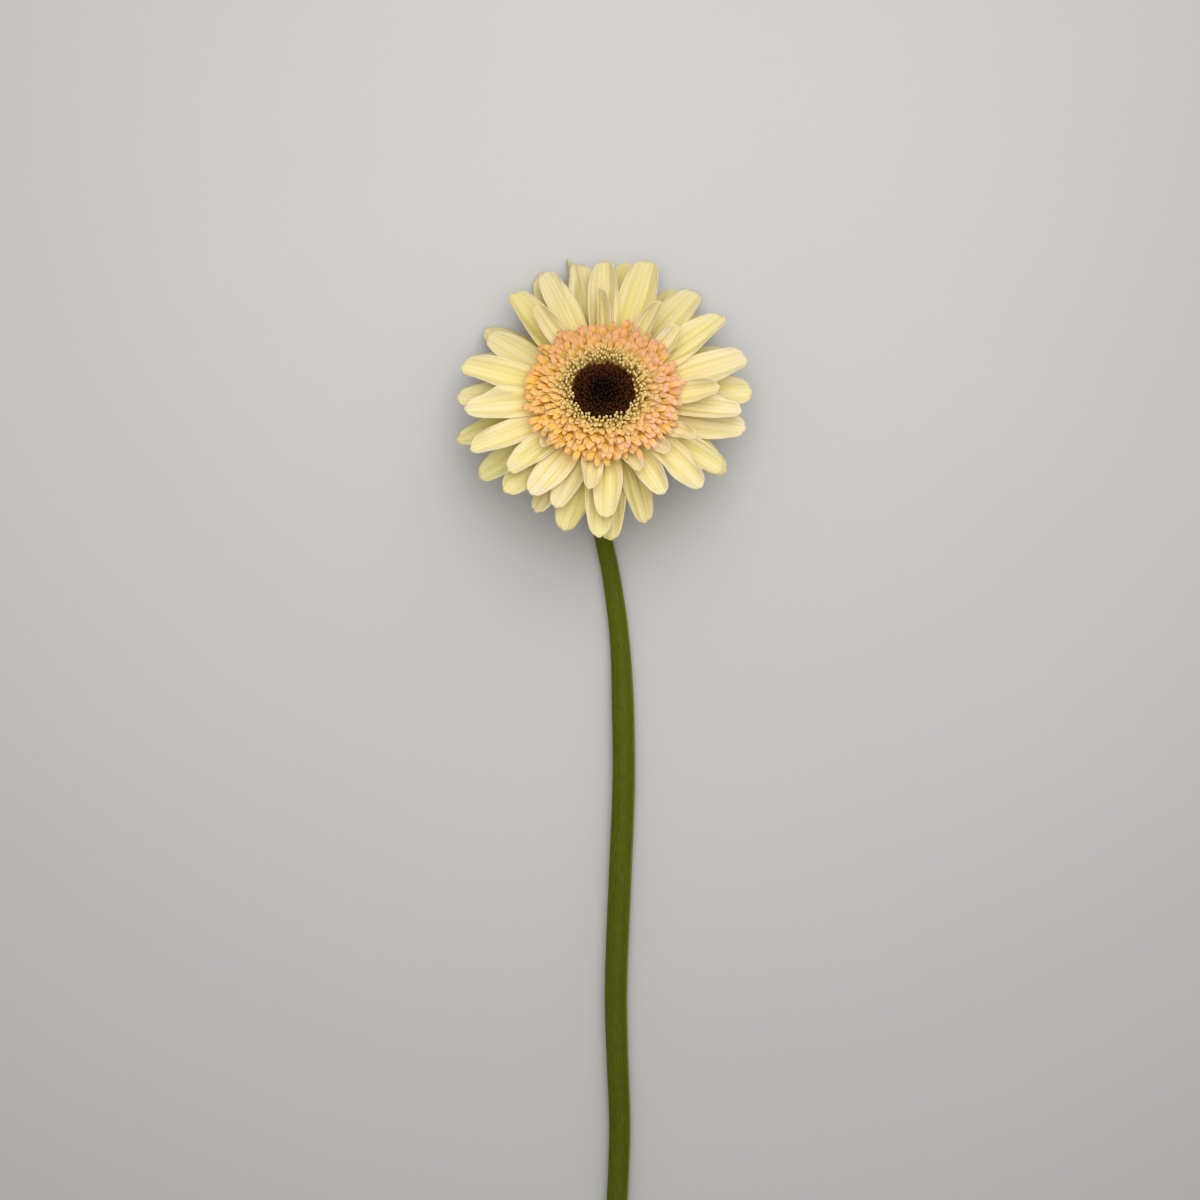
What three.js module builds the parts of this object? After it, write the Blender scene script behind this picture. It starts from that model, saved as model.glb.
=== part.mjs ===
// A cut mini gerbera lying on a table: a leafless stem, its calyx of green bracts and a flower head
// of three kinds of floret. The stem runs along Y and the head faces up, leaning away from the stem.
// It rests on the stem and on the tips of the lowest ray florets. Millimetres, +Z up.
import * as THREE from "three";

const GAP = 0.3; // clearance between pieces that touch
const degrees = THREE.MathUtils.degToRad;

// Head
const headTilt = degrees(24); // the face leans this far from straight up, away from the stem
const headRadius = 37; // to the tip of a full-length ray floret
const eyeRadius = 7.6;
const eyeTop = 4.0; // height of the eye above the middle of the head
const eyeDip = 0.7; // hollow at the middle of the eye
const discRingTop = 5.4; // height of the open disc florets
const ruffRadius = 19.2; // outer edge of the ruff of small florets
const ruffThickness = 0.4;
const discRingThickness = 0.8;

// Receptacle and calyx
const receptacleRadius = eyeRadius + 0.6; // it carries the eye, the open disc florets and the ruff
const receptacleTop = -1.2; // the florets stand on it, this far below the middle of the head
const receptacleWall = 4; // height of its side, where the ray florets grow
const calyxDepth = 13.5; // from the middle of the head down to the top of the stem
const bractThickness = 0.5;
const bractCount = 13; // in each of the two rows
const bractFoot = 0.25; // where the bracts start, as a share of the cup's curve
const bractFlare = 0.8; // how far the bracts' tips stand off

// Ray florets
const rayThickness = 0.45;
const rayWidth = 6.4; // of a full-length ray floret; a shorter one is narrower
const rayRootShare = 0.25; // root width over full width
const rayWidest = 0.66; // how far along a ray floret is widest
const rayTipStretch = 1.02; // above 1 leaves the tip blunt
const rayLayerStep = 0.8; // height from one layer of ray florets to the next
const rayRestStep = rayThickness + rayLayerStep; // the same where their tips lie on the table

// Stem
const neckRadius = 2.15;
const neckBend = 12; // radius of the curve below the head
const stemEnd = -400; // where the stem was cut
const cutSlant = degrees(38);

// The stem, seen from above: [side, along, radius] from the neck to the cut end
const stemRoute = [
  [-0.7, -24, 2.15],
  [-0.5, -32, 2.2],
  [1.5, -42, 2.2],
  [2.9, -51, 2.3],
  [4.0, -61, 2.45],
  [4.7, -76, 2.8],
  [5.0, -95, 2.85],
  [4.4, -112, 2.85],
  [3.4, -134, 2.85],
  [3.0, -149, 2.85],
  [3.5, -166, 2.75],
  [4.0, -181, 2.65],
  [3.4, -198, 2.65],
  [2.0, -228, 2.75],
  [1.5, -262, 2.9],
  [2.4, -305, 3.05],
  [3.0, -350, 3.15],
  [2.2, stemEnd, 3.3],
];

// Ray florets in four layers, counted from the lowest. lift is the slope in degrees, bend the droop of
// the tip over the length, cup the rise of the edges over half the width, and width the share of the
// usual width for the length. Each floret is [azimuth in degrees, reach as a share of the head's radius].
const rayLayers = {
  outer: {
    below: 0,
    lift: -8,
    bend: -0.06,
    cup: 0.12,
    width: 1,
    florets: [
      [26, 0.93],
      [44, 0.98],
      [65, 1.0],
      [84, 1.06],
      [104, 1.06],
      [122, 1.0],
      [140, 1.0],
      [158, 0.97],
      [188, 1.0],
      [211, 0.95],
      [238, 0.86],
      [256, 0.9],
      [274, 0.93],
      [292, 0.86],
      [335, 0.92],
    ],
  },
  middle: {
    below: 1,
    lift: -2,
    bend: -0.03,
    cup: 0.14,
    width: 1,
    florets: [
      [6, 0.99],
      [56, 1.02],
      [97, 1.01],
      [115, 1.01],
      [148, 0.92],
      [177, 0.98],
      [223, 0.92],
      [250, 0.82],
      [269, 0.97],
      [327, 0.92],
      [346, 0.96],
    ],
  },
  upper: {
    below: 2,
    lift: 3,
    bend: -0.02,
    cup: 0.16,
    width: 1,
    florets: [
      [15, 0.99],
      [35, 0.99],
      [72, 1.03],
      [90, 0.99],
      [110, 1.0],
      [130, 0.97],
      [166, 0.97],
      [184, 0.93],
      [202, 0.96],
      [220, 0.83],
      [238, 0.85],
      [274, 0.87],
      [300, 0.8],
      [318, 0.92],
      [356, 0.92],
    ],
  },
  inner: {
    below: 3,
    lift: 9,
    bend: 0.02,
    cup: 0.2,
    width: 1.05,
    florets: [
      [0, 0.77],
      [39, 0.68],
      [62, 0.73],
      [90, 0.74],
      [124, 0.76],
      [222, 0.57],
      [260, 0.72],
      [289, 0.62],
      [315, 0.62],
      [333, 0.7],
    ],
  },
};

const floretBed = receptacleTop + GAP; // the small florets start here

// The head's middle stands this high, so that the stem lies on the table
const headHeight = neckRadius + neckBend * (1 - Math.sin(headTilt)) + (calyxDepth + GAP) * Math.cos(headTilt);

const material = (color, roughness) => new THREE.MeshStandardMaterial({ color, roughness, metalness: 0 });
const petalCream = material(0xf1e0a8, 0.6);
const ruffPeach = material(0xe8b07a, 0.6);
const antherYellow = material(0xd9c27a, 0.6);
const eyeBrown = material(0x2a140a, 0.8);
const calyxGreen = material(0x5f7a2a, 0.7);
const stemGreen = material(0x5a6b1c, 0.6);

// A closed sheet from a grid of points on its upper and lower faces. place(i, j, side) gives a point,
// with side +1 above and -1 below. A wrapped sheet joins its last column to its first.
function closedSheet(rows, columns, wrapped, place) {
  const points = [];
  for (const side of [1, -1])
    for (let i = 0; i < rows; i++) for (let j = 0; j < columns; j++) points.push(...place(i, j, side));
  const at = (i, j, side) => (side > 0 ? 0 : rows * columns) + i * columns + (j % columns);
  const faces = [];
  const quad = (a, b, c, d) => faces.push(a, b, c, a, c, d);
  const cells = wrapped ? columns : columns - 1;
  for (let i = 0; i < rows - 1; i++)
    for (let j = 0; j < cells; j++) {
      quad(at(i, j, 1), at(i + 1, j, 1), at(i + 1, j + 1, 1), at(i, j + 1, 1));
      quad(at(i, j, -1), at(i, j + 1, -1), at(i + 1, j + 1, -1), at(i + 1, j, -1));
    }
  for (let j = 0; j < cells; j++) {
    quad(at(0, j, 1), at(0, j + 1, 1), at(0, j + 1, -1), at(0, j, -1));
    quad(at(rows - 1, j, 1), at(rows - 1, j, -1), at(rows - 1, j + 1, -1), at(rows - 1, j + 1, 1));
  }
  if (!wrapped)
    for (let i = 0; i < rows - 1; i++) {
      quad(at(i, 0, 1), at(i, 0, -1), at(i + 1, 0, -1), at(i + 1, 0, 1));
      quad(at(i, cells, 1), at(i + 1, cells, 1), at(i + 1, cells, -1), at(i, cells, -1));
    }
  const geometry = new THREE.BufferGeometry();
  geometry.setAttribute("position", new THREE.Float32BufferAttribute(points, 3));
  geometry.setIndex(faces);
  geometry.computeVertexNormals();
  return geometry;
}

// Half the width of a full-length ray floret at a share of its length, from a narrow root to a blunt tip
function rayHalfWidth(along) {
  const opening = (1 - Math.cos(Math.min(along / rayWidest, 1) * Math.PI)) / 2;
  const closing = Math.max(along - rayWidest, 0) / (rayTipStretch - rayWidest);
  return (rayWidth / 2) * (rayRootShare + (1 - rayRootShare) * opening) * Math.sqrt(1 - closing ** 2.6);
}

const rayStations = [0, 0.2, 0.4, 0.6, 0.78, 0.89, 0.96, 1];

// One ray floret, running out along X from the side of the receptacle. A floret that would pass
// through the table bends up until its tip rests on it, or on the layers below it.
function rayFloret(azimuth, share, { below, lift, bend, cup, width }) {
  const root = receptacleRadius + GAP;
  const length = headRadius * share - root;
  const rootHeight = receptacleTop - GAP - rayThickness - (3 - below) * rayLayerStep;
  let tipRise = bend * length;
  const place = (i, j, side) => {
    const along = rayStations[i];
    const half = width * share * rayHalfWidth(along);
    const across = j - 1;
    const out = along * length;
    const spine = rootHeight + out * Math.tan(degrees(lift)) + tipRise * along ** 2;
    return [root + out, across * half, spine + cup * half * across ** 2 + (side * rayThickness) / 2];
  };
  const heightAboveTable = ([out, across, up]) => {
    const far = out * Math.sin(azimuth) + across * Math.cos(azimuth);
    return headHeight - far * Math.sin(headTilt) + up * Math.cos(headTilt);
  };
  const tip = rayStations.length - 1;
  const lowest = Math.min(...[0, 1, 2].map((j) => heightAboveTable(place(tip, j, -1))));
  const rest = below * rayRestStep;
  if (lowest < rest) tipRise += (rest - lowest) / Math.cos(headTilt);
  return closedSheet(rayStations.length, 3, false, place);
}

// A ring of lobes on a cone or a cup, as one closed sheet. lobe is the outline of one lobe, as
// [share of its turn, reach]; profile(t) gives [distance from the axis, height] from the ring's inner
// edge at 0 to the tips of its lobes at 1.
function crown({ lobes, lobe, stations, thickness, profile }) {
  const columns = lobes * lobe.length;
  return closedSheet(stations, columns, true, (i, j, side) => {
    const [share, reach] = lobe[j % lobe.length];
    const t = (i / (stations - 1)) * reach;
    const turn = ((Math.floor(j / lobe.length) + share) / lobes) * 2 * Math.PI;
    const [distance, height] = profile(t);
    const [nextDistance, nextHeight] = profile(t + 0.01);
    const run = Math.hypot(nextDistance - distance, nextHeight - height);
    const offset = (side * thickness) / 2;
    const radius = distance - (offset * (nextHeight - height)) / run;
    const lift = (offset * (nextDistance - distance)) / run;
    return [radius * Math.cos(turn), radius * Math.sin(turn), height + lift];
  });
}

// A small floret's way: up its tube from the receptacle to its throat, then out to its tip
function floretProfile(foot, throat, tip) {
  return (t) => {
    const [from, to, part] = t < 0.5 ? [foot, throat, t * 2] : [throat, tip, t * 2 - 1];
    return [from[0] + (to[0] - from[0]) * part, from[1] + (to[1] - from[1]) * part];
  };
}

// The cup of the receptacle, from the stem at 0 to the start of its wall at 1, or a cup outside it
function cupPoint(t, outside) {
  const turn = (t * Math.PI) / 2;
  const height = calyxDepth + receptacleTop - receptacleWall;
  const radius = neckRadius + (receptacleRadius - neckRadius + outside) * Math.sin(turn);
  return [radius, receptacleTop - receptacleWall - (height + outside) * Math.cos(turn)];
}

function receptacle() {
  const outline = [new THREE.Vector2(0, -calyxDepth)];
  for (const t of [0, 0.2, 0.4, 0.6, 0.8, 1]) outline.push(new THREE.Vector2(...cupPoint(t, 0)));
  outline.push(new THREE.Vector2(receptacleRadius, receptacleTop), new THREE.Vector2(0, receptacleTop));
  return new THREE.LatheGeometry(outline, 20).rotateX(Math.PI / 2);
}

// One row of bracts, lying outside the receptacle, their tips standing off it
function bractRow(outside) {
  const lobe = [
    [0, 0.62],
    [0.5, 1],
  ];
  const profile = (t) => {
    const [radius, height] = cupPoint(bractFoot + (1 - bractFoot) * t, outside);
    return [radius + bractFlare * t ** 3, height];
  };
  return crown({ lobes: bractCount, lobe, stations: 6, thickness: bractThickness, profile });
}

// The eye of unopened disc florets, which spread from a narrow foot
function eye() {
  const outline = [
    new THREE.Vector2(0, floretBed),
    new THREE.Vector2(eyeRadius - 3.1, floretBed),
    new THREE.Vector2(eyeRadius - 0.4, eyeTop - 2.2),
    new THREE.Vector2(eyeRadius, eyeTop - 1.4),
    new THREE.Vector2(eyeRadius - 1, eyeTop - 0.5),
    new THREE.Vector2(eyeRadius - 3, eyeTop),
    new THREE.Vector2(0, eyeTop - eyeDip),
  ];
  return new THREE.LatheGeometry(outline, 24).rotateX(Math.PI / 2);
}

// The ring of open disc florets close round the eye
function openDiscFlorets() {
  const foot = [eyeRadius - 2.1, floretBed + discRingThickness / 2];
  const profile = floretProfile(foot, [eyeRadius + 0.75, 2], [eyeRadius + 1.2, discRingTop]);
  const lobe = [
    [0, 0.7],
    [0.5, 1],
  ];
  return crown({ lobes: 32, lobe, stations: 3, thickness: discRingThickness, profile });
}

// The ruff of small florets between the eye and the ray florets, in three nested rows. foot is the
// distance outside the eye, throat that distance and the height, and tip the share of the way from the
// eye to the ruff's edge and the height.
const ruffRows = {
  ruff_florets_inner: { lobes: 24, foot: -1.1, throat: [2.1, 2.2], tip: [0.45, 5.6] },
  ruff_florets_middle: { lobes: 28, foot: -0.4, throat: [2.6, 1.6], tip: [0.72, 4.7] },
  ruff_florets_outer: { lobes: 32, foot: 0.3, throat: [3, 0.9], tip: [1, 3.2] },
};

function ruffRow({ lobes, foot, throat, tip }) {
  const lobe = [
    [0, 0.8],
    [0.25, 1],
    [0.75, 1],
  ];
  const profile = floretProfile(
    [eyeRadius + foot, floretBed + ruffThickness / 2],
    [eyeRadius + throat[0], throat[1]],
    [THREE.MathUtils.lerp(eyeRadius, ruffRadius, tip[0]), tip[1]],
  );
  return crown({ lobes, lobe, stations: 3, thickness: ruffThickness, profile });
}

// The stem's centre line and radius, from the calyx down and round the neck, then along the table
function stemLine() {
  const top = new THREE.Vector3(0, 0, -calyxDepth - GAP);
  top.applyAxisAngle(new THREE.Vector3(1, 0, 0), -headTilt);
  top.z += headHeight;
  const line = [];
  const neckSteps = 6;
  for (let i = 0; i <= neckSteps; i++) {
    const turn = headTilt + ((Math.PI / 2 - headTilt) * i) / neckSteps;
    const along = -neckBend * (Math.cos(headTilt) - Math.cos(turn));
    const down = neckBend * (Math.sin(turn) - Math.sin(headTilt));
    line.push({ point: new THREE.Vector3(0, top.y + along, top.z - down), radius: neckRadius });
  }
  for (const [side, along, radius] of stemRoute)
    line.push({ point: new THREE.Vector3(side, along, radius), radius });
  return line;
}

function stem() {
  const line = stemLine();
  const route = new THREE.CatmullRomCurve3(line.map((knot) => knot.point), false, "centripetal");
  const sides = 10;
  const steps = 2 * (line.length - 1);
  const points = [];
  for (let i = 0; i <= steps; i++) {
    const centre = route.getPoint(i / steps);
    const ahead = route.getTangent(i / steps);
    const across = new THREE.Vector3(1, 0, 0).projectOnPlane(ahead).normalize();
    const upwards = new THREE.Vector3().crossVectors(ahead, across);
    const radius = (line[Math.floor(i / 2)].radius + line[Math.ceil(i / 2)].radius) / 2;
    for (let k = 0; k < sides; k++) {
      const turn = ((k + 0.5) / sides) * 2 * Math.PI;
      const spot = centre.clone().addScaledVector(across, radius * Math.cos(turn));
      spot.addScaledVector(upwards, radius * Math.sin(turn));
      if (i === steps) spot.addScaledVector(ahead, radius * Math.sin(turn) * Math.tan(cutSlant));
      points.push(...spot);
    }
  }
  const faces = [];
  for (let i = 0; i < steps; i++)
    for (let k = 0; k < sides; k++) {
      const a = i * sides + k;
      const b = i * sides + ((k + 1) % sides);
      faces.push(a, b, b + sides, a, b + sides, a + sides);
    }
  const end = steps * sides;
  for (let k = 1; k < sides - 1; k++) faces.push(0, k + 1, k, end, end + k, end + k + 1);
  const geometry = new THREE.BufferGeometry();
  geometry.setAttribute("position", new THREE.Float32BufferAttribute(points, 3));
  geometry.setIndex(faces);
  geometry.computeVertexNormals();
  return geometry;
}

function piece(name, geometry, finish, parent) {
  const mesh = new THREE.Mesh(geometry, finish);
  mesh.name = name;
  parent.add(mesh);
  return mesh;
}

const flower = new THREE.Group();
const head = new THREE.Group();
head.rotation.x = -headTilt;
head.position.z = headHeight;
flower.add(head);

piece("stem", stem(), stemGreen, flower);
piece("receptacle", receptacle(), calyxGreen, head);
const bractOutside = GAP + bractThickness / 2;
piece("calyx_bracts_inner", bractRow(bractOutside), calyxGreen, head);
const outerBracts = bractRow(bractOutside + bractThickness + GAP);
piece("calyx_bracts_outer", outerBracts, calyxGreen, head).rotation.z = Math.PI / bractCount;
piece("disc_eye", eye(), eyeBrown, head);
piece("disc_florets_open", openDiscFlorets(), antherYellow, head);
for (const [name, row] of Object.entries(ruffRows)) piece(name, ruffRow(row), ruffPeach, head);
for (const [name, layer] of Object.entries(rayLayers))
  layer.florets.forEach(([azimuth, share], i) => {
    const turn = degrees(azimuth);
    const number = String(i + 1).padStart(2, "0");
    const floret = piece(`ray_floret_${name}_${number}`, rayFloret(turn, share, layer), petalCream, head);
    floret.rotation.z = turn;
  });

// The origin is on the table, below the middle of the flower
flower.updateMatrixWorld(true);
const extent = new THREE.Box3().setFromObject(flower, true);
const middle = extent.getCenter(new THREE.Vector3());
flower.position.set(-middle.x, -middle.y, -extent.min.z);

export default flower;
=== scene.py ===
# A cut gerbera lying on a pale table: the looks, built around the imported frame. All lengths are in metres.
import math
import bmesh
import bpy
import numpy as np
from mathutils import Matrix, Vector


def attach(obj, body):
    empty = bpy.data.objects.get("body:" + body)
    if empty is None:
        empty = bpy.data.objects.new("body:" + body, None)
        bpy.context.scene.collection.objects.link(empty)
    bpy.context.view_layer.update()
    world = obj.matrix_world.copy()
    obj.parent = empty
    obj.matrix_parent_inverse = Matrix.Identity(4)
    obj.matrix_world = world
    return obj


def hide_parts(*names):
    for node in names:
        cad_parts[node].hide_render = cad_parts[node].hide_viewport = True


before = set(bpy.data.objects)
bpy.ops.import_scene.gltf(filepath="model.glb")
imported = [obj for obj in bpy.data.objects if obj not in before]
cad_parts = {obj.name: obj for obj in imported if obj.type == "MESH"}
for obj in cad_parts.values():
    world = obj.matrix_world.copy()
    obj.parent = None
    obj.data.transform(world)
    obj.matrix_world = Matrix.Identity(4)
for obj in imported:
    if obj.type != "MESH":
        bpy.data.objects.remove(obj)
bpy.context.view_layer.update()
print("frame loaded:", len(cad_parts), "nodes")

mm = 0.001

# the head's own axes

head = {
    "tilt": 24.0,        # degrees that the head leans away from the stem
    "eyeFloor": 0.9,     # mm from the eye's underside up to the head's middle
}


def cadPoints(name):
    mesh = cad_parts[name].data
    points = np.zeros(len(mesh.vertices) * 3)
    mesh.vertices.foreach_get("co", points)
    return points.reshape(-1, 3)


def headAxes():
    lean = math.radians(head["tilt"])
    basis = np.array([[1, 0, 0],
                      [0, math.cos(lean), -math.sin(lean)],
                      [0, math.sin(lean), math.cos(lean)]])
    eye = cadPoints("disc_eye") @ basis.T
    low, high = eye.min(0), eye.max(0)
    middle = np.array([(low[0] + high[0]) / 2, (low[1] + high[1]) / 2, low[2] + head["eyeFloor"] * mm])
    return basis, middle @ basis


headBasis, headMiddle = headAxes()
headMatrix = Matrix.Translation(Vector(headMiddle)) @ Matrix(headBasis.T.tolist()).to_4x4()


def toHead(points):
    return (points - headMiddle) @ headBasis.T


def fromHead(points):
    return points @ headBasis + headMiddle


# node helpers

def setSocket(tree, socket, value):
    if isinstance(value, bpy.types.NodeSocket):
        tree.links.new(value, socket)
    else:
        socket.default_value = value


def enabledSocket(sockets, name=None):
    return next(s for s in sockets if s.enabled and name in (None, s.name))


def put(tree, kind, sockets=None, **settings):
    # a new node; its settings come first, because they decide which of its sockets are in use
    made = tree.nodes.new(kind)
    for name, value in settings.items():
        setattr(made, name, value)
    for name, value in (sockets or {}).items():
        found = enabledSocket(made.inputs, name) if isinstance(name, str) else made.inputs[name]
        setSocket(tree, found, value)
    return made


def maths(tree, operation, *values):
    return put(tree, "ShaderNodeMath", dict(enumerate(values)), operation=operation).outputs[0]


def times(tree, first, second):
    return maths(tree, "MULTIPLY", first, second)


def mapped(tree, value, fromLow, fromHigh, toLow=0.0, toHigh=1.0):
    sockets = {"Value": value, "From Min": fromLow, "From Max": fromHigh, "To Min": toLow, "To Max": toHigh}
    return put(tree, "ShaderNodeMapRange", sockets, clamp=True).outputs[0]


def blendColour(tree, share, first, second, how="MIX"):
    made = put(tree, "ShaderNodeMix", None, data_type="RGBA", blend_type=how)
    for place, value in ((0, share), (6, first), (7, second)):
        setSocket(tree, made.inputs[place], (*value, 1) if isinstance(value, tuple) else value)
    return made.outputs[2]


def layered(tree, colour, *layers):
    # each layer is how much of it shows, its colour and, if it isn't a plain mix, the way it is blended
    for share, over, *how in layers:
        colour = blendColour(tree, share, colour, over, *how)
    return colour


def ramp(tree, value, stops):
    made = put(tree, "ShaderNodeValToRGB", {"Fac": value})
    band = made.color_ramp
    while len(band.elements) < len(stops):
        band.elements.new(0.5)
    for element, (place, colour) in zip(band.elements, stops):
        element.position = place
        element.color = (*colour, 1)
    return made.outputs["Color"]


def named(tree, name):
    return put(tree, "ShaderNodeAttribute", None, attribute_name=name).outputs["Fac"]


def newGroup(name, kind, inputs, outputs):
    tree = bpy.data.node_groups.new(name, kind)
    for label, socket, value in inputs:
        made = tree.interface.new_socket(name=label, in_out="INPUT", socket_type=socket)
        if value is not None:
            made.default_value = value
    for label, socket in outputs:
        tree.interface.new_socket(name=label, in_out="OUTPUT", socket_type=socket)
    return tree, tree.nodes.new("NodeGroupInput").outputs, tree.nodes.new("NodeGroupOutput").inputs


# shader groups shared by the plant's materials

def makeTissueGrain():
    # soft mottling and a fine cell grain, on object coordinates
    tree, given, result = newGroup(
        "tissueGrain", "ShaderNodeTree",
        [("Patch Size", "NodeSocketFloat", 0.004), ("Cell Size", "NodeSocketFloat", 0.0004)],
        [("Patches", "NodeSocketFloat"), ("Cells", "NodeSocketFloat")])
    place = put(tree, "ShaderNodeTexCoord").outputs["Object"]
    for label, size, detail in (("Patches", "Patch Size", 3.0), ("Cells", "Cell Size", 1.5)):
        scale = maths(tree, "DIVIDE", 1.0, given[size])
        noise = put(tree, "ShaderNodeTexNoise", {"Vector": place, "Scale": scale, "Detail": detail})
        tree.links.new(noise.outputs["Fac"], result[label])
    return tree


def makeLengthVeins():
    # thin lines that run the length of a floret, bract or stem; Across is -1 to 1 over its width
    tree, given, result = newGroup(
        "lengthVeins", "ShaderNodeTree",
        [("Across", "NodeSocketFloat", 0.0), ("Along", "NodeSocketFloat", 0.0),
         ("Count", "NodeSocketFloat", 9.0), ("Drift", "NodeSocketFloat", 0.3)],
        [("Lines", "NodeSocketFloat"), ("Streaks", "NodeSocketFloat")])
    spread = times(tree, given["Across"], given["Count"])
    route = put(tree, "ShaderNodeCombineXYZ", {"X": spread, "Y": times(tree, given["Along"], 2.0)})
    wander = put(tree, "ShaderNodeTexNoise", {"Vector": route.outputs[0], "Scale": 1.0, "Detail": 2.0})
    shift = maths(tree, "MULTIPLY_ADD", wander.outputs["Fac"], given["Drift"], spread)
    wave = maths(tree, "COSINE", times(tree, shift, math.pi))
    tree.links.new(maths(tree, "POWER", mapped(tree, wave, -1.0, 1.0), 3.0), result["Lines"])
    tree.links.new(wander.outputs["Fac"], result["Streaks"])
    return tree


tissueGrain = makeTissueGrain()
lengthVeins = makeLengthVeins()


def grain(tree, look):
    sizes = {"Patch Size": look["patchSize"], "Cell Size": look["cellSize"]}
    return put(tree, "ShaderNodeGroup", sizes, node_tree=tissueGrain).outputs


def veins(tree, look, across, along):
    sizes = {"Across": across, "Along": along, "Count": look["veins"], "Drift": look["veinDrift"]}
    return put(tree, "ShaderNodeGroup", sizes, node_tree=lengthVeins).outputs


def newMaterial(name, fixed):
    material = bpy.data.materials.new(name)
    material.use_nodes = True
    tree = material.node_tree
    shader = tree.nodes["Principled BSDF"]
    for label, value in fixed.items():
        shader.inputs[label].default_value = value
    return material, tree, shader


def finishMaterial(tree, shader, colour, noise, look, lines=None):
    # roughness is a pair, relief is the bump's depth in metres, lineRelief and cellRelief are shares of it
    height = noise["Cells"]
    if lines:
        height = maths(tree, "ADD", times(tree, lines["Lines"], look["lineRelief"]),
                       times(tree, height, look["cellRelief"]))
    tree.links.new(colour, shader.inputs["Base Color"])
    tree.links.new(mapped(tree, noise["Cells"], 0.3, 0.7, *look["roughness"]), shader.inputs["Roughness"])
    bump = put(tree, "ShaderNodeBump", {"Height": height, "Distance": look["relief"], "Strength": 1.0})
    tree.links.new(bump.outputs["Normal"], shader.inputs["Normal"])


# finishes: colours are linear red, green and blue, each with the share of it that shows; footToTip runs along
# a floret, patches and cells are in metres, and along, across, tint and the others are stored on the meshes

petalLook = {
    "footToTip": [(0.00, (0.82, 0.56, 0.08)), (0.20, (0.89, 0.67, 0.19)), (0.38, (0.90, 0.72, 0.34)),
                  (0.70, (0.82, 0.69, 0.425)), (1.00, (0.76, 0.655, 0.455))],
    "green": (0.69, 0.615, 0.13), "greenShare": (1.0, 0.6),         # near the foot and at the tip
    "pink": (0.88, 0.67, 0.45), "pinkShare": 0.75,
    "patch": (0.84, 0.72, 0.32), "patchShare": 0.22,
    "line": (0.72, 0.63, 0.23), "lineShare": 0.36,
    "hollow": (0.72, 0.645, 0.14), "hollowShare": (0.35, 0.75),
    "margin": (0.86, 0.76, 0.54),
    "shade": (0.86, 0.85, 0.83), "shadeShare": 0.9,
    "patchSize": 0.005, "cellSize": 0.00035, "veins": 7.0, "veinDrift": 0.5,
    "roughness": (0.44, 0.60), "lineRelief": -0.6, "cellRelief": 0.35, "relief": 0.00011,
}


def makePetalCream():
    # along 0 to 1 from foot to tip, across -1 to 1, tint below 0 greener and above 0 pinker
    material, tree, shader = newMaterial("petalCream", {
        "Subsurface Weight": 0.35, "Subsurface Radius": (1.0, 0.85, 0.25), "Subsurface Scale": 0.0006,
        "Specular IOR Level": 0.25, "Sheen Weight": 0.08, "Sheen Roughness": 0.4})
    look = petalLook
    along, across, tint = named(tree, "along"), named(tree, "across"), named(tree, "tint")
    noise = grain(tree, look)
    patches = noise["Patches"]
    lines = veins(tree, look, across, along)
    greener = times(tree, mapped(tree, tint, 0.0, -1.0), mapped(tree, along, 0.3, 1.0, *look["greenShare"]))
    # painted shade: grooves and the middles of cupped florets turn yellow-green
    hollow = times(tree, named(tree, "hollow"), mapped(tree, patches, 0.3, 0.7, *look["hollowShare"]))
    colour = layered(
        tree, ramp(tree, along, look["footToTip"]),
        (greener, look["green"]),
        (times(tree, mapped(tree, tint, 0.0, 1.0), look["pinkShare"]), look["pink"]),
        (mapped(tree, patches, 0.35, 0.75, 0.0, look["patchShare"]), look["patch"]),
        (times(tree, lines["Lines"], look["lineShare"]), look["line"]),
        (hollow, look["hollow"]),
        # paler margins, partly a painted highlight on the raised rims of cupped florets
        (named(tree, "edge"), look["margin"]),
        # painted shade: each floret darkened by what it stores, with some random tone
        (mapped(tree, named(tree, "dim"), 0.0, 1.0, 0.0, look["shadeShare"]), look["shade"], "MULTIPLY"))
    finishMaterial(tree, shader, colour, noise, look, lines)
    return material


ruffLook = {
    "footToTip": [(0.00, (0.97, 0.48, 0.02)), (0.40, (0.98, 0.49, 0.03)), (0.70, (0.98, 0.49, 0.08)),
                  (0.88, (0.98, 0.50, 0.15)), (1.00, (0.98, 0.51, 0.22))],
    "blush": (0.98, 0.46, 0.31), "blushMost": 0.9,
    "blushSide": (-0.15, 0.65),         # left and right
    "blushSlant": (-0.016, 0.018),      # metres to the side over which it comes in
    "blushChance": 0.75,                # how much it differs between florets
    "young": (0.84, 0.56, 0.16), "youngShare": 0.65,
    "youngRing": (0.0095, 0.0118),      # metres from the middle over which the young yellow goes
    "patch": (0.93, 0.49, 0.12), "patchShare": 0.3,
    "line": (0.80, 0.36, 0.08), "lineShare": 0.12,
    "farShade": (0.83, 0.77, 0.72), "farShare": 0.9,
    "farBeyond": (0.0, 0.014),          # metres past the middle over which it gets darker
    "patchSize": 0.003, "cellSize": 0.00025, "veins": 2.0, "veinDrift": 0.6,
    "roughness": (0.42, 0.58), "lineRelief": -0.5, "cellRelief": 0.4, "relief": 0.00004,
}


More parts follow.
